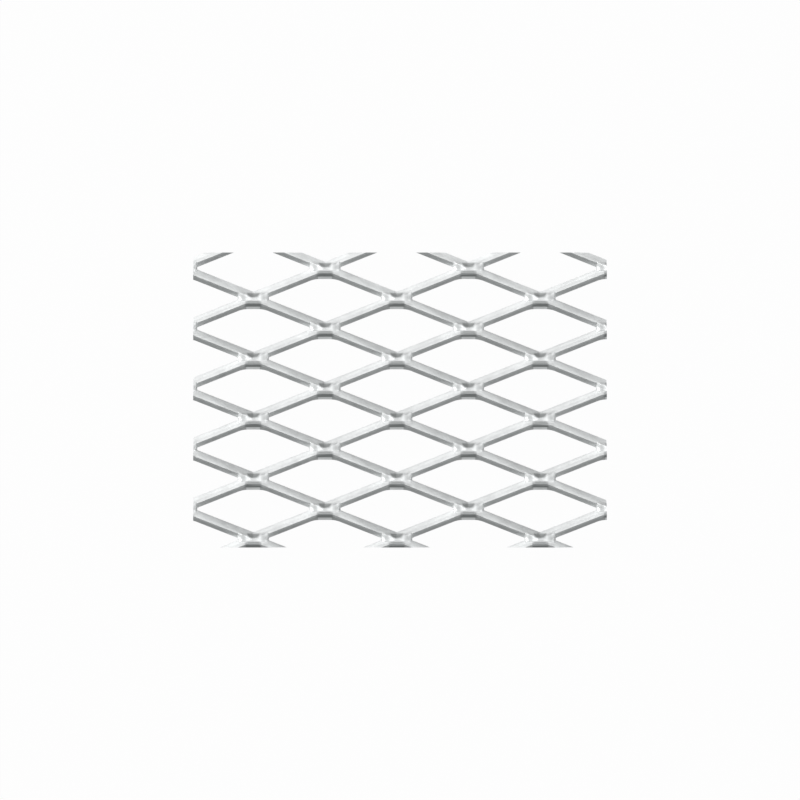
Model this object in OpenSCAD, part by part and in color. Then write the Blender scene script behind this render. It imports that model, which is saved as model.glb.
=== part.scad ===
// Raised expanded metal mesh, the diamond mesh that car grilles are filled with.
// X runs along the long way of the diamonds, Y along the short way and Z up out of the sheet.
// The origin is under the middle of the sheet, on the surface that it lies on.
// A press slits and stretches one strip of the sheet at each stroke, with a row of blunt teeth.
// A strip keeps its own width square to the cuts, so each one is the zigzag side profile that
// the teeth give it, extruded across its width. The stretched sheet hangs at a tilt, so the
// strips stand on edge like the slats of a blind, and neighbours are one metal at the bonds.

/* [Diamond] */
// Long way of the diamond, from bond to bond
lwd = 30.5; // [25:0.1:45]
// Short way of the diamond, from bond to bond
swd = 12.8; // [10:0.1:16]
/* [Strand] */
// Width of a strand, as slit
strand_w = 2.85; // [2:0.05:3.5]
// Thickness of the metal
gauge = 1.3; // [0.8:0.05:1.5]
// Flat end of a press tooth, where a strand meets the one made before it
tip_flat = 2.1; // [0.5:0.1:3]
// Bend radius beside the tooth's flat end, on the middle of the metal
tip_r = 6; // [2:0.1:7]
// Flat land between two teeth, where a strand meets the one made after it
root_flat = 0.1; // [0.1:0.1:2]
// Bend radius beside the land, on the middle of the metal
root_r = 1; // [1:0.1:3]
// Height that the levelling rollers take off the highest and lowest edges
levelled = 0.15; // [0.05:0.05:0.3]
/* [Sheet] */
// Length of the sheet along X
sheet_l = 87.9; // [60:0.1:160]
// Width of the sheet along Y
sheet_w = 62.7; // [40:0.1:120]
// Distance along X from the middle of the sheet to the column of bonds nearest to it
column_shift = -0.7; // [-5:0.1:5]
// Distance along Y from the middle of the sheet to the row of bonds just above it
row_shift = 2.0; // [0:0.1:3]

/* [Hidden] */
silver = [0.86, 0.87, 0.87];
bend_steps = 4; // straight pieces in each bend
row_pitch = swd / 2;
half_way = lwd / 2;
// Each strip moves down by one stroke as the sheet feeds by one strand, so together the two
// span the row pitch, and their ratio sets the tilt
tilt = acos(strand_w / row_pitch);
stroke = row_pitch * sin(tilt);
depth = 2 * strand_w * sin(tilt) + gauge * cos(tilt) - 2 * levelled;
// Slope of the leg that joins the two bends, which round their corners by tan(angle / 2)
flats_to_corners = half_way - (tip_flat + root_flat) / 2;
radii = tip_r + root_r;
leg_angle = 2 * atan(stroke / (flats_to_corners + sqrt(flats_to_corners ^ 2 - (2 * radii - stroke) * stroke)));
rows_each_way = ceil((sheet_w / 2 + row_pitch) / row_pitch);
bonds_each_way = ceil(sheet_l / 2 / lwd) + 1;

// Points on a bend that starts at a point, turning from one heading to another
function bend(start, from, to, r) =
    let (side = sign(to - from))
    let (middle = start + r * side * [-sin(from), cos(from)])
    [for (i = [0:bend_steps])
        let (heading = from + (to - from) * i / bend_steps)
        middle - r * side * [-sin(heading), cos(heading)]];

// Middle line of a strip over one diamond, as [along X, down the stroke], from a land at x
function one_diamond(x) =
    let (root = [x + root_flat / 2, 0])
    let (tip = [x + half_way - tip_flat / 2, stroke])
    let (down = bend(root, 0, leg_angle, root_r))
    let (level = reversed(bend(tip, 180, 180 + leg_angle, tip_r)))
    let (leg = concat(down, level))
    concat(leg, [for (p = reversed(leg)) [2 * (x + half_way) - p.x, p.y]]);

function unit(v) = v / norm(v);
function left_of(v) = [-v.y, v.x];
function reversed(list) = [for (i = [len(list) - 1:-1:0]) list[i]];

// The middle line moved sideways, with mitred corners, to make one face of the metal
function moved(line, side) =
    let (last = len(line) - 1)
    [for (i = [0:last])
        let (before = unit(line[max(i, 1)] - line[max(i, 1) - 1]))
        let (after = unit(line[min(i, last - 1) + 1] - line[min(i, last - 1)]))
        let (across = unit(left_of(before) + left_of(after)))
        line[i] + side * across / (across * left_of(after))];

// Side profile of the strip that has a land at x
module strip_profile(x) {
    line = [for (i = [-bonds_each_way - 1:bonds_each_way]) each one_diamond(x + i * lwd)];
    polygon(concat(moved(line, gauge / 2), reversed(moved(line, -gauge / 2))));
}

// Every strip that the sheet needs, side by side along Z, each one stroke below the one before
module strips() {
    for (row = [-rows_each_way:rows_each_way])
        translate([0, row * stroke, row * strand_w])
            linear_extrude(strand_w) strip_profile(row % 2 == 0 ? half_way : 0);
}

// The stretched sheet, laid level, sheared to size and levelled
module mesh_sheet() {
    color(silver)
        translate([0, 0, depth / 2])
            intersection() {
                cube([sheet_l, sheet_w, depth], center = true);
                translate([column_shift, row_shift, 0]) rotate([tilt - 90, 180, 0]) strips();
            }
}

mesh_sheet();
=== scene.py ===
"""Raised expanded metal grille mesh.

One bond is slit and stretched by hand, then copied over the whole sheet. In the flat metal X runs
along the slits, Y is the feed of the press and Z is the stroke of its teeth.
"""

import math

import bmesh
import bpy
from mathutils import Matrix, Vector


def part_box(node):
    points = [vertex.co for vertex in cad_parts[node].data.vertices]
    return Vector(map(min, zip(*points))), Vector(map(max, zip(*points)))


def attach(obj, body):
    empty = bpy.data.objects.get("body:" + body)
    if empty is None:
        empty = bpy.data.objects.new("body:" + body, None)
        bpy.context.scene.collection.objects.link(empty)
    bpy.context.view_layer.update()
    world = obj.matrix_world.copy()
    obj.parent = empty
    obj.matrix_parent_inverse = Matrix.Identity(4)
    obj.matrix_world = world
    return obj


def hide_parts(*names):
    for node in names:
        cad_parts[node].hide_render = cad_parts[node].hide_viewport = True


bl_info = {
    "name": "Expanded Grille Mesh",
    "version": (1, 0, 0),
    "blender": (4, 5, 0),
    "location": "View3D > Sidebar > Grille Mesh",
    "description": "Builds a raised expanded metal sheet round its CAD frame, with its finish and stage",
    "category": "Object",
}

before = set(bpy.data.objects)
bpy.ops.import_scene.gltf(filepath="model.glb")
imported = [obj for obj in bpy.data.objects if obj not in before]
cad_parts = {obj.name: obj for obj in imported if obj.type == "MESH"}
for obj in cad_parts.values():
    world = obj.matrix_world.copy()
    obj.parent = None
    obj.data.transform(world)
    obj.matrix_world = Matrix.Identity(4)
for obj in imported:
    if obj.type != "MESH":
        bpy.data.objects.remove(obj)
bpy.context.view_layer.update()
SHEET_LOW, SHEET_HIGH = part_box("mesh_sheet")
MM = 0.001
NEAR = 1e-6  # places closer than this are one place
DOUBLES = 3e-6  # corners closer than this are welded
ON_CUT = 1e-7  # corners closer to a cutting plane than this lie on it
FACING = 0.9  # a face of the flat metal looks along an axis when its normal reaches this
RISING = 0.2  # a face of the stretched metal is on top when its normal rises more than this
SMOOTH_ANGLE = math.radians(35)  # edges that turn further than this stay sharp

# Parts that the fold over a land, the bend beside a tooth's flat and the leg are scored into
FOLD_PARTS, BEND_PARTS, LEG_PARTS = 3, 6, 5
# Parts of a rollover, of the ramp past it and of the fold above it
ROLLOVER_PARTS, RAMP_PARTS, LAND_PARTS = 4, 4, 4
SCORE_GAP = 0.15 * MM  # from a border in the metal to the extra score beside it
LAND_MARGIN = 0.25 * MM  # plain metal above the scores that shape the fold over a land
TEAR_LINE = 0.1 * MM  # height of the border between the burnished and the torn part of a cut

# The painted shade of a press mark fades from this far inside its border to this far outside
SHADE_INSIDE, SHADE_OUTSIDE = 0.1 * MM, 0.25 * MM
# Share of its reach that the painted shade over the land has at the slit, and what it gains up to the
# strand's edge
LAND_FOOT, LAND_SPREAD = 0.6, 0.4
LAND_LEAN = 0.35  # slope that keeps the foot of the painted shade over the land level while the fold climbs
LAND_FOOT_FADE = 0.35 * MM
LAND_TOP = 0.68  # share of the strand's width at which the painted shade over the land ends
LAND_TOP_FALL = 2  # how much lower it ends for each step that the fold climbs
LAND_TOP_FADE = 0.15 * MM
# The same shares for the painted shade on the tooth's flat, and what it gains down the cut
TOOTH_FOOT, TOOTH_SPREAD, CUT_SPREAD = 0.8, 0.2, 0.15
# Painted shade on the drawn skin of the neck, at this share, from the tooth's mark to a fade short of the
# slit's end
NECK_SHADE_SHARE = 0.5
NECK_START = 0.4 * MM
NECK_FADE_FROM, NECK_FADE_TO = 2.2 * MM, 2.8 * MM
NECK_LOWEST_ROWS = 1 / 3  # share of the rollover's width that belongs to the neck

NECK_SQUARENESS = 8  # how squarely the neck runs out at the slit's ends
NECK_HEAD = 0.1 * MM  # drawn metal on the upper side of a bond
EASE = {"factor": 0.5, "xaxis": False, "yaxis": False}
NECK_EASING, FOLD_EASING = 6, 10  # rounds of smoothing under the neck and over the fold
FOLD_EASED_REACH = 1.5 * MM  # from the middle of a bond
FOLD_EASED_FROM = 0.3  # share of the rollover's width above which the fold is eased

# Places of the finishes in the sheet's list of materials
ROLLED, BURNISHED, TORN, DRAWN = range(4)
# Name of the corner values that say how much painted shade each corner takes where the teeth press the metal
PRESS_SHADE = "press_shade"
# Grain per metre in the flat sheet, roughness, height of the grain and share of bare metal
FINISH_KINDS = {
    "rolled_face": ((9000, 900, 9000), 0.65, 0.004 * MM, 0.1),
    "burnished_cut": ((9000, 9000, 900), 0.32, 0.004 * MM, 1.0),
    "torn_cut": ((7000, 7000, 3500), 0.42, 0.015 * MM, 1.0),
    "drawn_metal": ((3000, 3000, 3000), 0.38, 0.004 * MM, 0.4),
}
CLOUDS = 350  # cloudy patches per metre
DARKER, LIGHTER = 0.9, 1.05  # shades of a colour between the clouds
SMOOTHER, ROUGHER = 0.85, 1.15  # shares of a finish's roughness along its grain
NOISE_LOW, NOISE_HIGH = 0.3, 0.7  # between these lie nearly all values of a noise

# Place, width and height in metres and power in watts of each light panel
LIGHT_PANELS = {
    "key_panel": ((-1.175, 0.446, 0.5), (0.8, 0.5), 15),
    "back_panel": ((0.59, 1.18, 0.356), (1.4, 0.4), 5),
    "top_panel": ((0, 0.8, 0.75), (1.4, 1.0), 2.4),
    "side_panel": ((1.15, 0.1, 0.55), (0.6, 0.6), 1),
}
WHITE = (1, 1, 1, 1)
PAPER = (0.35, 0.35, 0.35, 1)
PAPER_SEEN, PAPER_MIRRORED = 0.98, 0.05  # shares of white that the camera and the metal see in the paper
PAPER_SIZE = 6
PAPER_GAP = 0.02 * MM  # between the paper and the sheet
CAMERA_REACH = 20


class StrandSettings(bpy.types.PropertyGroup):
    """Sizes of the diamonds and of the strands between them."""

    long_way: bpy.props.FloatProperty(
        name="Long way",
        description="Diamond from bond to bond along X",
        default=30.5 * MM,
        unit="LENGTH",
    )
    short_way: bpy.props.FloatProperty(
        name="Short way",
        description="Diamond from bond to bond along Y",
        default=12.8 * MM,
        unit="LENGTH",
    )
    strand_width: bpy.props.FloatProperty(
        name="Strand width",
        description="Width of a strand as slit",
        default=2.85 * MM,
        unit="LENGTH",
    )
    gauge: bpy.props.FloatProperty(
        name="Gauge",
        description="Thickness of the metal",
        default=1.3 * MM,
        unit="LENGTH",
    )
    tip_flat: bpy.props.FloatProperty(
        name="Tip flat",
        description="Flat that a press tooth leaves",
        default=2.1 * MM,
        unit="LENGTH",
    )
    tip_radius: bpy.props.FloatProperty(
        name="Tip radius",
        description="Bend beside the tooth's flat",
        default=6 * MM,
        unit="LENGTH",
    )
    land_flat: bpy.props.FloatProperty(
        name="Land flat",
        description="Flat left between two teeth",
        default=0.1 * MM,
        unit="LENGTH",
    )
    land_radius: bpy.props.FloatProperty(
        name="Land radius",
        description="Bend beside the land",
        default=1 * MM,
        unit="LENGTH",
    )
    column_shift: bpy.props.FloatProperty(
        name="Column shift",
        description="Middle of the sheet to the nearest column of bonds",
        default=-0.7 * MM,
        unit="LENGTH",
    )
    row_shift: bpy.props.FloatProperty(
        name="Row shift",
        description="Middle of the sheet to the row of bonds above it",
        default=2 * MM,
        unit="LENGTH",
    )


class EdgeSettings(bpy.types.PropertyGroup):
    """How the shears leave the edges and the bonds."""

    clearance: bpy.props.FloatProperty(
        name="Clearance",
        description="Metal lost on each side of a slit",
        default=0.01 * MM,
        unit="LENGTH",
    )
    rollover_width: bpy.props.FloatProperty(
        name="Rollover width",
        description="Face that the shear draws down",
        default=1.0 * MM,
        unit="LENGTH",
    )
    rollover_depth: bpy.props.FloatProperty(
        name="Rollover depth",
        description="How far it is drawn down at the cut",
        default=0.31 * MM,
        unit="LENGTH",
    )
    rollover_bend: bpy.props.FloatProperty(
        name="Rollover bend",
        description="Over 1 the face falls faster towards the cut, at 1 evenly",
        default=1.2,
    )
    ramp_width: bpy.props.FloatProperty(
        name="Ramp width",
        description="Drawn metal on the lower side of a bond",
        default=1.35 * MM,
        unit="LENGTH",
    )
    tooth_reach: bpy.props.FloatProperty(
        name="Tooth reach",
        description="Middle of a bond to the end of the tooth's mark",
        default=1.55 * MM,
        unit="LENGTH",
    )
    burnish: bpy.props.FloatProperty(
        name="Burnish",
        description="Depth that is cut before the metal tears",
        default=0.66 * MM,
        unit="LENGTH",
    )
    tear_back: bpy.props.FloatProperty(
        name="Tear back",
        description="How far the torn edge leans back",
        default=0.06 * MM,
        unit="LENGTH",
    )
    slit_end: bpy.props.FloatProperty(
        name="Slit end",
        description="Middle of a bond to the end of the slit",
        default=3.2 * MM,
        unit="LENGTH",
    )
    # The fold reach also sets how far the painted shade over the land reaches
    fold_reach: bpy.props.FloatProperty(
        name="Fold reach",
        description="Middle of a bond to the end of the land's mark",
        default=1.65 * MM,
        unit="LENGTH",
    )
    crest: bpy.props.FloatProperty(
        name="Crest",
        description="Metal that the tooth pushes up at the slit's middle",
        default=0.1 * MM,
        unit="LENGTH",
    )
    bond_sag: bpy.props.FloatProperty(
        name="Bond sag",
        description="Step between the two strands in a bond",
        default=0.14 * MM,
        unit="LENGTH",
    )


class FinishSettings(bpy.types.PropertyGroup):
    """Colours of the bare metal, and of the painted shade at the bonds."""

    rolled_colour: bpy.props.FloatVectorProperty(
        name="Rolled face",
        description="Mill finish",
        subtype="COLOR",
        size=4,
        default=(0.86, 0.87, 0.87, 1),
    )
    burnished_colour: bpy.props.FloatVectorProperty(
        name="Burnished edge",
        description="Smooth part of a cut",
        subtype="COLOR",
        size=4,
        default=(0.82, 0.83, 0.83, 1),
    )
    torn_colour: bpy.props.FloatVectorProperty(
        name="Torn edge",
        description="Rough part of a cut",
        subtype="COLOR",
        size=4,
        default=(0.68, 0.69, 0.69, 1),
    )
    drawn_colour: bpy.props.FloatVectorProperty(
        name="Drawn metal",
        description="Stretched skin at the bonds",
        subtype="COLOR",
        size=4,
        default=(0.93, 0.94, 0.94, 1),
    )
    # Painted shade: this dark colour, laid where the teeth press the metal, stands in for the dark
    # reflections and shade at the bonds
    press_shade_colour: bpy.props.FloatVectorProperty(
        name="Coined metal",
        description="Marks of the teeth",
        subtype="COLOR",
        size=4,
        default=(0.38, 0.39, 0.39, 1),
    )


class StageSettings(bpy.types.PropertyGroup):
    """Camera and light of the studio."""

    frame_width: bpy.props.FloatProperty(
        name="Frame width",
        description="Width that the picture shows",
        default=170.2 * MM,
        unit="LENGTH",
    )
    lens: bpy.props.FloatProperty(
        name="Lens",
        description="Focal length in millimetres",
        default=400,
        min=20,
    )
    surround: bpy.props.FloatVectorProperty(
        name="Surround",
        description="Colour that the room lights with",
        subtype="COLOR",
        size=4,
        default=(0.34, 0.35, 0.35, 1),
    )


def choose(piece):
    """Leaves one object selected and active."""
    bpy.ops.object.select_all(action="DESELECT")
    piece.select_set(True)
    bpy.context.view_layer.objects.active = piece


def pick(piece, test, kind="VERT"):
    """In edit mode, selects the elements that the test accepts."""
    bpy.ops.mesh.select_mode(type=kind)
    bpy.ops.mesh.select_all(action="DESELECT")
    shape = bmesh.from_edit_mesh(piece.data)
    elements = {"VERT": shape.verts, "EDGE": shape.edges, "FACE": shape.faces}[kind]
    for element in elements:
        if test(element):
            element.select_set(True)
    shape.select_flush_mode()
    bmesh.update_edit_mesh(piece.data)


def score(piece, place, across, test=None, **trim):
    """Cuts faces along a plane, all of them unless a test picks some."""
    pick(piece, test or (lambda face: True), "FACE")
    bpy.ops.mesh.bisect(plane_co=place, plane_no=across, threshold=ON_CUT, **trim)


def shift(piece, test, along):
    """Moves the corners that the test accepts."""
    pick(piece, test)
    bpy.ops.transform.translate(value=along)


def same(first, second):
    """Whether two places along an axis are one place."""
    return abs(first - second) < NEAR


def middle(face):
    """The middle of a face."""
    return face.calc_center_median()


def fade(value, full, none):
    """1 up to one value, 0 from another on, and evenly between."""
    return min(1, max(0, (none - value) / (none - full)))


def bent(x, flat, radius, angle):
    """How far a strand has left its level at x from the middle of a flat, and its slope there."""
    along = x - flat / 2
    turned = radius * math.sin(angle)
    if along <= 0:
        return 0, 0
    if along <= turned:
        slope = math.asin(along / radius)
        return radius * (1 - math.cos(slope)), slope
    return radius * (1 - math.cos(angle)) + (along - turned) * math.tan(angle), angle


class Stretch:
    """What follows from the settings: the tilt, the stroke and the line that a strand takes."""

    def __init__(self, scene):
        cuts = scene.strand_settings
        edges = scene.edge_settings
        self.cuts = cuts
        self.edges = edges
        self.half = cuts.gauge / 2
        self.outer = cuts.strand_width - edges.clearance
        self.row_pitch = cuts.short_way / 2
        self.half_way = cuts.long_way / 2
        self.tilt = math.acos(cuts.strand_width / self.row_pitch)
        self.stroke = self.row_pitch * math.sin(self.tilt)
        rise = self.stroke - edges.bond_sag
        run = self.half_way - (cuts.tip_flat + cuts.land_flat) / 2
        radii = cuts.tip_radius + cuts.land_radius
        self.leg = 2 * math.atan(rise / (run + math.sqrt(run**2 - (2 * radii - rise) * rise)))

    def upper(self, x):
        """Level and slope of the strand above a bond, which folds up from its land."""
        rise, slope = bent(x, self.cuts.land_flat, self.cuts.land_radius, self.leg)
        return self.edges.bond_sag / 2 + rise, slope

    def lower(self, x):
        """Level and slope of the strand below a bond, which bends down from the tooth's flat."""
        drop, slope = bent(x, self.cuts.tip_flat, self.cuts.tip_radius, self.leg)
        return -self.edges.bond_sag / 2 - drop, -slope

    def stations(self):
        """Places along X at which the strands are scored to be bent, up to halfway along a leg."""
        fold = self.cuts.land_radius * math.sin(self.leg)
        bend = self.cuts.tip_radius * math.sin(self.leg)
        end = self.half_way / 2
        tip = self.cuts.tip_flat / 2
        places = [self.cuts.land_flat / 2 + fold * step / FOLD_PARTS for step in range(FOLD_PARTS + 1)]
        places.append((places[-1] + tip) / 2)
        places += [tip + bend * step / BEND_PARTS for step in range(BEND_PARTS + 1)]
        places += [tip + bend + (end - (tip + bend)) * step / LEG_PARTS for step in range(1, LEG_PARTS)]
        slit = self.edges.slit_end
        clear = [x for x in places if abs(x - slit) > 1.5 * SCORE_GAP]
        return sorted(clear + [slit - SCORE_GAP, slit, slit + SCORE_GAP])


def rollover_steps(edges):
    """Distance from the cut and drop from the face of each line on a drawn-down edge, the far one first."""
    steps = [step / ROLLOVER_PARTS for step in range(ROLLOVER_PARTS + 1)]
    return [
        (edges.rollover_width * (1 - step), edges.rollover_depth * step**edges.rollover_bend)
        for step in steps
    ]


def lines_between(start, end, count):
    """Even places after a start, up to and with the end."""
    return [start + (end - start) * step / count for step in range(1, count + 1)]


def ramp_lines(edges):
    """Distances below the slit of the lines that shape the ramp, past those of the rollover."""
    return lines_between(edges.clearance + edges.rollover_width, edges.ramp_width, RAMP_PARTS)


def land_lines(stretch):
    """Distances above the slit of the lines that shape the fold over the land."""
    return lines_between(stretch.edges.rollover_width, stretch.cuts.strand_width - LAND_MARGIN, LAND_PARTS)


def flat_blank(stretch):
    """Half of a bond's share of the flat sheet, from the middle of the bond to halfway along both legs."""
    bpy.ops.mesh.primitive_cube_add(size=1, location=(stretch.half_way / 4, 0, 0))
    blank = bpy.context.object
    blank.name = "expanded_sheet"
    blank.scale = (stretch.half_way / 2, 2 * stretch.outer, stretch.cuts.gauge)
    bpy.ops.object.transform_apply(location=True, rotation=True, scale=True)
    return blank


def score_blank(blank, stretch):
    """Scores the stations, the edges of the slit and of the outer cuts, and the lines that shape the bond."""
    edges = stretch.edges
    pick(blank, lambda face: abs(face.normal.x) > FACING, "FACE")
    bpy.ops.mesh.delete(type="ONLY_FACE")
    for x in stretch.stations():
        score(blank, (x, 0, 0), (1, 0, 0))
    score(blank, (0, 0, 0), (0, 1, 0))
    for inset, _ in rollover_steps(edges)[:-1]:
        for side in (-1, 1):
            # Past the slit's end only the side that rounds over keeps its lines
            score(
                blank,
                (0, side * (edges.clearance + inset), 0),
                (0, 1, 0),
                lambda face: middle(face).x < edges.slit_end or middle(face).z * side > 0,
            )
            score(
                blank,
                (0, -side * (stretch.outer - inset), 0),
                (0, 1, 0),
                lambda face: face.normal.z * side > FACING,
            )
    below = [-beside for beside in ramp_lines(edges)]
    foot = -edges.ramp_width - SCORE_GAP
    for y in [*below, *land_lines(stretch), foot]:
        score(
            blank,
            (0, y, 0),
            (0, 1, 0),
            lambda face: middle(face).x < edges.slit_end and face.normal.z > FACING,
        )


def slit_blank(blank, stretch):
    """Parts the strands past the slit's end and scores the walls of the cuts where they tear."""
    edges = stretch.edges

    def on_slit(edge):
        return all(same(v.co.y, 0) and v.co.x > edges.slit_end - NEAR for v in edge.verts)

    pick(blank, on_slit, "EDGE")
    bpy.ops.mesh.edge_split(type="EDGE")
    for side in (-1, 1):
        pick(
            blank,
            lambda edge: on_slit(edge) and edge.is_boundary and middle(edge.link_faces[0]).y * side > 0,
            "EDGE",
        )
        bpy.ops.mesh.bridge_edge_loops()
        shift(
            blank,
            lambda v: same(v.co.y, 0)
            and v.co.x > edges.slit_end + NEAR
            and any(middle(face).y * side > NEAR for face in v.link_faces),
            (0, side * edges.clearance, 0),
        )
    tear = stretch.half - edges.burnish
    for depth in (-tear, tear, tear - TEAR_LINE):
        score(blank, (0, 0, depth), (0, 0, 1), lambda face: abs(face.normal.y) > FACING)


def finish_of(face, stretch):
    """The place in the list of the finish that a face of the flat metal takes."""
    edges = stretch.edges
    place = middle(face)
    tear = stretch.half - edges.burnish
    if abs(face.normal.z) > FACING:
        side = math.copysign(1, face.normal.z)
        in_bond = place.x < edges.slit_end
        rounded = edges.clearance + edges.rollover_width
        at_slit = abs(place.y) < rounded and (in_bond or place.y * side > 0)
        at_outer = -place.y * side > stretch.outer - edges.rollover_width and place.x > edges.tooth_reach
        at_ramp = side > 0 and in_bond and -edges.ramp_width < place.y < 0
        return DRAWN if at_slit or at_outer or at_ramp else ROLLED
    side = -math.copysign(1, face.normal.y)
    at_slit_end = place.x < edges.slit_end + SCORE_GAP and abs(place.y) < NEAR + edges.clearance
    under_tooth = place.x < edges.tooth_reach and place.y < 0 and place.z < tear
    if at_slit_end or under_tooth:
        return DRAWN
    return TORN if place.z * side < tear else BURNISHED


def give_finishes(blank, stretch):
    """Tells each face which finish it takes, while the metal is still flat."""
    shape = bmesh.from_edit_mesh(blank.data)
    for face in shape.faces:
        face.material_index = finish_of(face, stretch)
    bmesh.update_edit_mesh(blank.data)


def shade_border(distance, reach):
    """1 inside the reach of a painted shade and 0 past it, with a soft border."""
    return fade(distance, reach - SHADE_INSIDE, reach + SHADE_OUTSIDE)


def land_shade(x, y, stretch):
    """How much painted shade the strand above a bond takes in the dip of the fold over its land."""
    reach = stretch.edges.fold_reach * (LAND_FOOT + LAND_SPREAD * math.sqrt(max(0, y) / stretch.outer))
    shaded = shade_border(x, reach) * fade(-y - LAND_LEAN * x, -SHADE_INSIDE, LAND_FOOT_FADE)
    # The painted shade stops short of the strand's outer corners, which climb away from the land
    climb = stretch.upper(x)[0] - stretch.upper(0)[0]
    top = LAND_TOP * stretch.outer - LAND_TOP_FALL * climb
    return shaded * fade(y, top - LAND_TOP_FADE, top + SHADE_OUTSIDE)


def neck_shade(x, edges):
    """How much painted shade the drawn skin takes between the tooth's mark and the slit's end."""
    past_tooth = 1 - fade(x, edges.tooth_reach, edges.tooth_reach + NECK_START)
    return NECK_SHADE_SHARE * past_tooth * fade(x, NECK_FADE_FROM, NECK_FADE_TO)


def tooth_shade(x, y, stretch):
    """How much painted shade the strand below a bond takes on the tooth's flat, past the foot of the ramp."""
    edges = stretch.edges
    reach = edges.tooth_reach * (TOOTH_FOOT + TOOTH_SPREAD * (-y / stretch.outer))
    return shade_border(x, reach) * (1 - fade(-y, edges.ramp_width, edges.ramp_width + SCORE_GAP))


def cut_shade(x, depth, edges):
    """How much painted shade the burnished cut takes under the tooth's flat."""
    reach = edges.tooth_reach * (1 + CUT_SPREAD * depth / edges.burnish)
    return shade_border(x, reach) * fade(depth, edges.burnish, edges.burnish + TEAR_LINE)


def paint_press_shade(blank, stretch):
    """Writes how much painted shade each corner of the flat metal takes where the teeth press it."""
    edges = stretch.edges
    shape = bmesh.from_edit_mesh(blank.data)
    press_shade = shape.verts.layers.float.new(PRESS_SHADE)
    for v in shape.verts:
        x, y, z = v.co
        amount = 0
        if y > -edges.ramp_width + NEAR and same(z, stretch.half):
            amount = land_shade(x, y, stretch)
            if y < edges.rollover_width * NECK_LOWEST_ROWS:
                amount = max(amount, neck_shade(x, edges))
        elif y < 0 and same(z, stretch.half):
            amount = tooth_shade(x, y, stretch)
        elif same(y, -stretch.outer):
            amount = cut_shade(x, stretch.half - z, edges)
        v[press_shade] = amount
    bmesh.update_edit_mesh(blank.data)


def crease_edges(blank, stretch):
    """Marks where each drawn-down edge starts, so that its shading breaks there."""
    edges = stretch.edges

    def starts(v):
        if v.co.x < edges.slit_end - NEAR or not same(abs(v.co.z), stretch.half):
            return False
        side = math.copysign(1, v.co.z)
        at_slit = side * (edges.clearance + edges.rollover_width)
        at_outer = -side * (stretch.outer - edges.rollover_width)
        return same(v.co.y, at_slit) or same(v.co.y, at_outer)

    def runs_along(edge):
        first, second = edge.verts
        return starts(first) and starts(second) and same(first.co.y, second.co.y)

    pick(blank, runs_along, "EDGE")
    bpy.ops.mesh.mark_sharp()


def round_edges(blank, stretch):
    """Presses the entry side of each cut round and leans the torn side back."""
    edges = stretch.edges
    in_bond = [x for x in [0, *stretch.stations()] if x < edges.slit_end + NEAR]
    for side in (-1, 1):
        face = side * stretch.half
        for inset, drop in rollover_steps(edges)[1:]:
            at_slit = side * (edges.clearance + inset)
            at_outer = -side * (stretch.outer - inset)

            def on_line(v):
                return same(v.co.z, face) and (same(v.co.y, at_outer) or same(v.co.y, at_slit))

            shift(blank, lambda v: on_line(v) and v.co.x > edges.slit_end + NEAR, (0, 0, -side * drop))
            for x in in_bond:
                # The tooth holds the metal up under its flat, so the edge stays sharp there
                held = fade(x, edges.tooth_reach, edges.slit_end)
                shift(blank, lambda v: on_line(v) and same(v.co.x, x), (0, 0, -side * drop * (1 - held)))

        def torn(v):
            past_slit = same(v.co.y, -side * edges.clearance) and v.co.x > edges.slit_end + NEAR
            return same(v.co.z, face) and (same(v.co.y, side * stretch.outer) or past_slit)

        shift(blank, torn, (0, -side * edges.tear_back, 0))


def stretch_blank(blank, stretch):
    """Bends both strands station by station, with the slit's line halfway between them."""
    for x in [0, *stretch.stations(), stretch.half_way / 2]:
        levels = []
        for side, line in ((1, stretch.upper), (-1, stretch.lower)):
            level, slope = line(x)
            levels.append(level)
            pick(blank, lambda v: same(v.co.x, x) and v.co.y * side > NEAR)
            bpy.ops.transform.resize(value=(1, 1, 1 / math.cos(slope)), center_override=(x, 0, 0))
            bpy.ops.transform.translate(value=(0, 0, level))
        shift(blank, lambda v: same(v.co.x, x) and same(v.co.y, 0), (0, 0, sum(levels) / 2))


def on_top(v):
    """Whether a corner of the stretched metal lies on its upper side."""
    return any(face.normal.z > RISING for face in v.link_faces)


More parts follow.
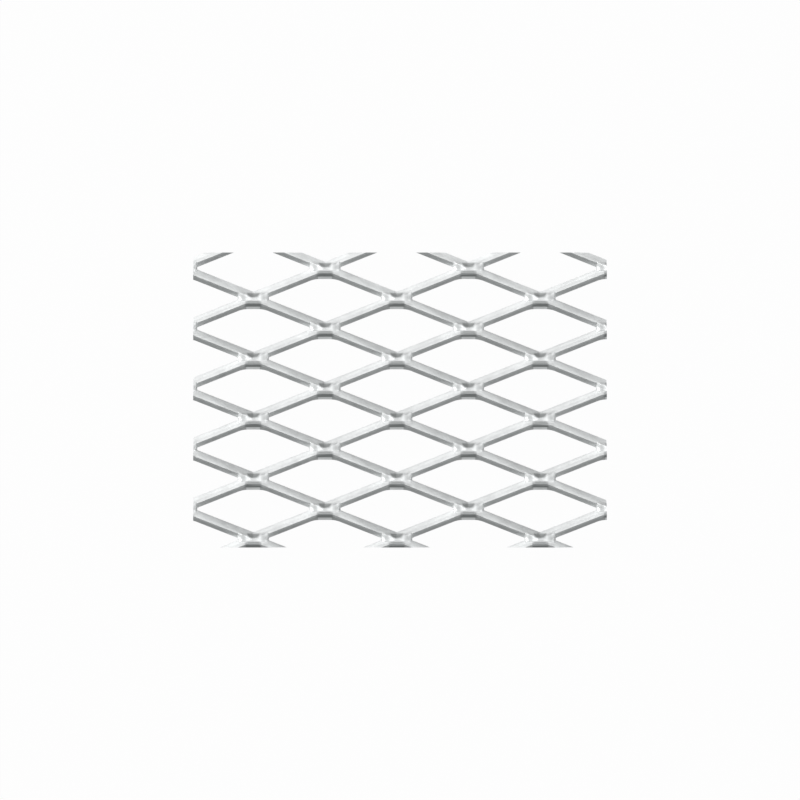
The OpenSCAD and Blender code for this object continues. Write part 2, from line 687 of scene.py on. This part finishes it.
def draw_bond(blank, stretch):
    """Draws the metal between the two strands into a neck, and eases it below and over the land."""
    edges = stretch.edges
    above = edges.clearance + edges.rollover_width

    def narrowing(x):
        return math.sqrt(max(0, 1 - (x / edges.slit_end) ** NECK_SQUARENESS))

    def heights(x, test):
        """Heights of the corners on top at x whose place across the strands passes a test."""
        return [v.co.z for v in shape.verts if same(v.co.x, x) and test(v.co.y) and on_top(v)]

    shape = bmesh.from_edit_mesh(blank.data)
    across = {round(v.co.y / NEAR) * NEAR for v in shape.verts}
    rows = sorted(y for y in across if -edges.ramp_width - NEAR < y < above)
    for x in [0, *(place for place in stretch.stations() if place < edges.slit_end - NEAR)]:
        foot = -edges.ramp_width * narrowing(x)
        head = NECK_HEAD * narrowing(x)
        low = max(heights(x, lambda y: y < -above))
        high = max(heights(x, lambda y: y > above))
        edge = high - edges.rollover_depth * (1 - fade(x, edges.tooth_reach, edges.slit_end))
        crest = edges.crest * (1 - x / edges.slit_end)
        for row in rows:
            share = 1 - fade(row, foot, head)
            share = share * share * (3 - 2 * share)
            lift = crest * fade(abs(row - head), 0, above)
            drawn = heights(x, lambda y: same(y, row)) if foot < row < head else []
            if drawn:
                lift = low + (edge - low) * share - max(drawn) + crest * share
            if not same(lift, 0):
                shift(blank, lambda v: same(v.co.x, x) and same(v.co.y, row) and on_top(v), (0, 0, lift))

    def under_neck(v):
        return not on_top(v) and v.co.x < edges.slit_end - NEAR and abs(v.co.y) < above * narrowing(v.co.x)

    def over_fold(v):
        in_fold = FOLD_EASED_FROM * above < v.co.y < land_lines(stretch)[-1] + NEAR
        return on_top(v) and v.co.x < FOLD_EASED_REACH and in_fold

    pick(blank, under_neck)
    bpy.ops.mesh.vertices_smooth(repeat=NECK_EASING, **EASE)
    pick(blank, over_fold)
    bpy.ops.mesh.vertices_smooth(repeat=FOLD_EASING, **EASE)


def finish_with(piece, kind, **values):
    """Adds a modifier, sets it and applies it."""
    modifier = piece.modifiers.new(kind.title(), kind)
    for name, value in values.items():
        setattr(modifier, name, value)
    bpy.ops.object.modifier_apply(modifier=modifier.name)


def copy_along(piece, count, step):
    """Makes a row of copies of a piece, each one step further on."""
    finish_with(
        piece,
        "ARRAY",
        count=count,
        use_relative_offset=False,
        use_constant_offset=True,
        constant_offset_displace=step,
    )


def cover_sheet(bond, stretch):
    """Copies the bond to every place in the sheet and a little past its edges."""
    cuts = stretch.cuts
    columns = 2 * math.ceil((SHEET_HIGH.x - SHEET_LOW.x) / cuts.long_way / 2)
    rows = 2 * math.ceil((SHEET_HIGH.y - SHEET_LOW.y) / cuts.short_way / 2)
    finish_with(bond, "MIRROR", use_mirror_merge=True, merge_threshold=DOUBLES)
    bpy.ops.object.duplicate()
    between = bpy.context.object
    between.location = (stretch.half_way, cuts.strand_width, stretch.stroke)
    bond.select_set(True)
    bpy.context.view_layer.objects.active = bond
    bpy.ops.object.join()
    copy_along(bond, columns, (cuts.long_way, 0, 0))
    copy_along(bond, rows, (0, 2 * cuts.strand_width, 2 * stretch.stroke))
    return columns, rows


def lay_and_trim(piece, stretch, columns, rows):
    """Turns the stretched sheet to lie level, and shears and levels it to the frame's box."""
    piece.rotation_euler = (-stretch.tilt, 0, 0)
    piece.location = (
        stretch.cuts.column_shift - stretch.cuts.long_way * (columns - 1) / 2,
        stretch.cuts.row_shift - stretch.cuts.short_way * rows / 2,
        SHEET_HIGH.z / 2,
    )
    bpy.ops.object.transform_apply(location=True, rotation=True, scale=True)
    bpy.ops.object.mode_set(mode="EDIT")
    bpy.ops.mesh.select_all(action="SELECT")
    bpy.ops.mesh.remove_doubles(threshold=DOUBLES)
    for axis in range(3):
        outward = [0, 0, 0]
        outward[axis] = 1
        score(piece, SHEET_HIGH, outward, use_fill=True, clear_outer=True)
        score(piece, SHEET_LOW, outward, use_fill=True, clear_inner=True)
    bpy.ops.object.mode_set(mode="OBJECT")


def hand_over(piece):
    """Says which body the piece moves with, and hides the frame's node that it stands for."""
    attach(piece, "root")
    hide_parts("mesh_sheet")


class GRILLE_OT_expanded_sheet(bpy.types.Operator):
    """Slits and stretches one bond, copies it over the sheet and gives it its bare metal finishes."""

    bl_idname = "grille.expanded_sheet"
    bl_label = "Expanded Sheet"

    def execute(self, context):
        stretch = Stretch(context.scene)
        bpy.ops.object.select_all(action="DESELECT")
        sheet = flat_blank(stretch)
        for finish in metal_finishes(context.scene.finish_settings, stretch):
            sheet.data.materials.append(finish)
        bpy.ops.object.mode_set(mode="EDIT")
        score_blank(sheet, stretch)
        slit_blank(sheet, stretch)
        bpy.ops.mesh.select_all(action="SELECT")
        bpy.ops.mesh.normals_make_consistent(inside=False)
        give_finishes(sheet, stretch)
        paint_press_shade(sheet, stretch)
        crease_edges(sheet, stretch)
        round_edges(sheet, stretch)
        stretch_blank(sheet, stretch)
        draw_bond(sheet, stretch)
        bpy.ops.object.mode_set(mode="OBJECT")
        columns, rows = cover_sheet(sheet, stretch)
        lay_and_trim(sheet, stretch, columns, rows)
        choose(sheet)
        bpy.ops.object.shade_smooth_by_angle(angle=SMOOTH_ANGLE)
        finish_with(sheet, "WEIGHTED_NORMAL", keep_sharp=True)
        hand_over(sheet)
        return {"FINISHED"}


def new_material(name):
    """An empty node material."""
    material = bpy.data.materials.new(name)
    material.use_nodes = True
    material.node_tree.nodes.clear()
    return material


def set_socket(owner, socket, value):
    """Gives a socket a value, or joins it to the output of another node."""
    if isinstance(value, bpy.types.NodeSocket):
        owner.node_tree.links.new(value, socket)
    else:
        socket.default_value = value


def node(owner, kind, **sockets):
    """Adds a node to a material or world and sets its sockets."""
    added = owner.node_tree.nodes.new(kind)
    for name, value in sockets.items():
        set_socket(owner, added.inputs[name.replace("_", " ")], value)
    return added


def blotches(material, place, scale, detail):
    """Noise with its values spread from 0 to 1."""
    noise = node(material, "ShaderNodeTexNoise", Vector=place, Scale=scale, Detail=detail)
    spread = node(
        material,
        "ShaderNodeMapRange",
        Value=noise.outputs["Fac"],
        From_Min=NOISE_LOW,
        From_Max=NOISE_HIGH,
    )
    return spread.outputs["Result"]


def mix_colours(material, share, first, second):
    """The colour between two, at a share that a socket gives."""
    mix = material.node_tree.nodes.new("ShaderNodeMix")
    mix.data_type = "RGBA"
    shown = [socket for socket in mix.inputs if socket.enabled]
    for socket, value in zip(shown, (share, first, second)):
        set_socket(material, socket, value)
    return next(socket for socket in mix.outputs if socket.enabled)


def shade_of(colour, amount):
    """A lighter or darker shade of a colour."""
    return [min(1, channel * amount) for channel in colour[:3]] + [1]


def metal_finish(name, colour, painted_shade_colour, tilt):
    """Metal whose grain follows the flat sheet, with painted shade mixed into its colour where the teeth
    press it.
    """
    grain, roughness, relief, bare_share = FINISH_KINDS[name]
    material = new_material(name)
    place = node(material, "ShaderNodeTexCoord").outputs["Object"]
    flat = node(material, "ShaderNodeMapping", Vector=place, Rotation=(tilt, 0, 0)).outputs["Vector"]
    stretched = node(material, "ShaderNodeMapping", Vector=flat, Scale=grain).outputs["Vector"]
    cloud = blotches(material, flat, CLOUDS, 3)
    lines = blotches(material, stretched, 1, 4)
    bare = mix_colours(material, cloud, shade_of(colour, DARKER), shade_of(colour, LIGHTER))
    # Painted shade: the colour turns towards the dark shade colour as far as the corner values say
    press_shade = node(material, "ShaderNodeAttribute")
    press_shade.attribute_name = PRESS_SHADE
    tint = mix_colours(material, press_shade.outputs["Fac"], bare, tuple(painted_shade_colour))
    rough = node(
        material,
        "ShaderNodeMapRange",
        Value=lines,
        To_Min=roughness * SMOOTHER,
        To_Max=roughness * ROUGHER,
    )
    bump = node(material, "ShaderNodeBump", Height=lines, Strength=1.0, Distance=relief)
    metal = node(
        material,
        "ShaderNodeBsdfPrincipled",
        Base_Color=tint,
        Metallic=bare_share,
        Roughness=rough.outputs["Result"],
        Normal=bump.outputs["Normal"],
    )
    node(material, "ShaderNodeOutputMaterial", Surface=metal.outputs["BSDF"])
    return material


def metal_finishes(colours, stretch):
    """The four finishes of the sheet, in the order of their places in its list."""
    bare = (colours.rolled_colour, colours.burnished_colour, colours.torn_colour, colours.drawn_colour)
    return [
        metal_finish(name, colour, colours.press_shade_colour, stretch.tilt)
        for name, colour in zip(FINISH_KINDS, bare)
    ]


def light_panel(name, centre, size, strength):
    """A soft rectangular light that looks at the middle of the sheet."""
    data = bpy.data.lights.new(name, "AREA")
    data.shape = "RECTANGLE"
    data.size, data.size_y = size
    data.energy = strength
    lamp = bpy.data.objects.new(name, data)
    lamp.location = centre
    lamp.rotation_euler = Vector(centre).to_track_quat("Z", "Y").to_euler()
    bpy.context.scene.collection.objects.link(lamp)


def math_node(material, operation, first, second):
    """The result of a sum on two values or sockets."""
    added = node(material, "ShaderNodeMath")
    added.operation = operation
    for socket, value in zip(added.inputs, (first, second)):
        set_socket(material, socket, value)
    return added.outputs[0]


def white_share(material, direct, mirrored):
    """How much white a ray picks up: one share straight from the camera, another by way of metal or glass."""
    rays = node(material, "ShaderNodeLightPath").outputs
    through = math_node(material, "MAXIMUM", rays["Is Glossy Ray"], rays["Is Transmission Ray"])
    seen = math_node(material, "MULTIPLY", rays["Is Camera Ray"], direct)
    return math_node(material, "ADD", seen, math_node(material, "MULTIPLY", through, mirrored))


def mix_shaders(owner, share, first, second):
    """The shader between two, at a share that a socket gives."""
    mix = node(owner, "ShaderNodeMixShader", Fac=share)
    owner.node_tree.links.new(first.outputs[0], mix.inputs[1])
    owner.node_tree.links.new(second.outputs[0], mix.inputs[2])
    return mix.outputs[0]


def floor_material():
    """White paper that looks white to the camera and still keeps a faint shadow."""
    paper = new_material("white_paper")
    matt = node(paper, "ShaderNodeBsdfDiffuse", Color=PAPER)
    glow = node(paper, "ShaderNodeEmission", Color=WHITE, Strength=1.0)
    surface = mix_shaders(paper, white_share(paper, PAPER_SEEN, PAPER_MIRRORED), matt, glow)
    node(paper, "ShaderNodeOutputMaterial", Surface=surface)
    return paper


def add_floor():
    """Lays the white paper under the sheet."""
    bpy.ops.mesh.primitive_plane_add(size=PAPER_SIZE, location=(0, 0, SHEET_LOW.z - PAPER_GAP))
    floor = bpy.context.object
    floor.name = "paper_floor"
    floor.data.transform(floor.matrix_world)
    floor.matrix_world.identity()
    floor.data.materials.append(floor_material())


def add_world(surround):
    """Lights the sheet from a dim room that the camera sees as white."""
    world = bpy.data.worlds.new("studio")
    world.use_nodes = True
    world.node_tree.nodes.clear()
    rays = node(world, "ShaderNodeLightPath").outputs["Is Camera Ray"]
    dim = node(world, "ShaderNodeBackground", Color=tuple(surround), Strength=1.0)
    white = node(world, "ShaderNodeBackground", Color=WHITE, Strength=1.0)
    node(world, "ShaderNodeOutputWorld", Surface=mix_shaders(world, rays, dim, white))
    bpy.context.scene.world = world


def add_camera(settings):
    """Puts a long lens straight over the sheet."""
    camera = bpy.data.objects.new("camera", bpy.data.cameras.new("camera"))
    camera.data.lens = settings.lens
    camera.data.clip_end = CAMERA_REACH
    distance = settings.frame_width * settings.lens / camera.data.sensor_width
    camera.location = (0, 0, SHEET_HIGH.z / 2 + distance)
    bpy.context.scene.collection.objects.link(camera)
    bpy.context.scene.camera = camera


class GRILLE_OT_photo_stage(bpy.types.Operator):
    """Sets a white floor, soft studio light and the camera that looks straight down on the sheet."""

    bl_idname = "grille.photo_stage"
    bl_label = "Photo Stage"

    def execute(self, context):
        settings = context.scene.stage_settings
        bpy.ops.object.select_all(action="DESELECT")
        add_floor()
        add_world(settings.surround)
        for name, (centre, size, strength) in LIGHT_PANELS.items():
            light_panel(name, centre, size, strength)
        add_camera(settings)
        context.scene.view_settings.view_transform = "Standard"
        return {"FINISHED"}


class GRILLE_PT_panel(bpy.types.Panel):
    """Lists the settings and the steps that build the sheet and its stage."""

    bl_idname = "GRILLE_PT_panel"
    bl_label = "Grille Mesh"
    bl_space_type = "VIEW_3D"
    bl_region_type = "UI"
    bl_category = "Grille Mesh"

    def draw(self, context):
        for settings in GROUPS:
            group = getattr(context.scene, settings)
            box = self.layout.box()
            for name in group.bl_rna.properties.keys():
                if name not in ("rna_type", "name"):
                    box.prop(group, name)
        self.layout.operator("grille.expanded_sheet")
        self.layout.operator("grille.photo_stage")


GROUPS = {
    "strand_settings": StrandSettings,
    "edge_settings": EdgeSettings,
    "finish_settings": FinishSettings,
    "stage_settings": StageSettings,
}
CLASSES = (*GROUPS.values(), GRILLE_OT_expanded_sheet, GRILLE_OT_photo_stage, GRILLE_PT_panel)


def register():
    """Makes the settings, the steps and their panel known to Blender."""
    for listed in CLASSES:
        bpy.utils.register_class(listed)
    for name, group in GROUPS.items():
        setattr(bpy.types.Scene, name, bpy.props.PointerProperty(type=group))


def unregister():
    """Takes them out again."""
    for name in GROUPS:
        delattr(bpy.types.Scene, name)
    for listed in reversed(CLASSES):
        bpy.utils.unregister_class(listed)


def main():
    """Builds the sheet and its stage."""
    register()
    bpy.ops.grille.expanded_sheet()
    bpy.ops.grille.photo_stage()


if __name__ == "__main__":
    main()
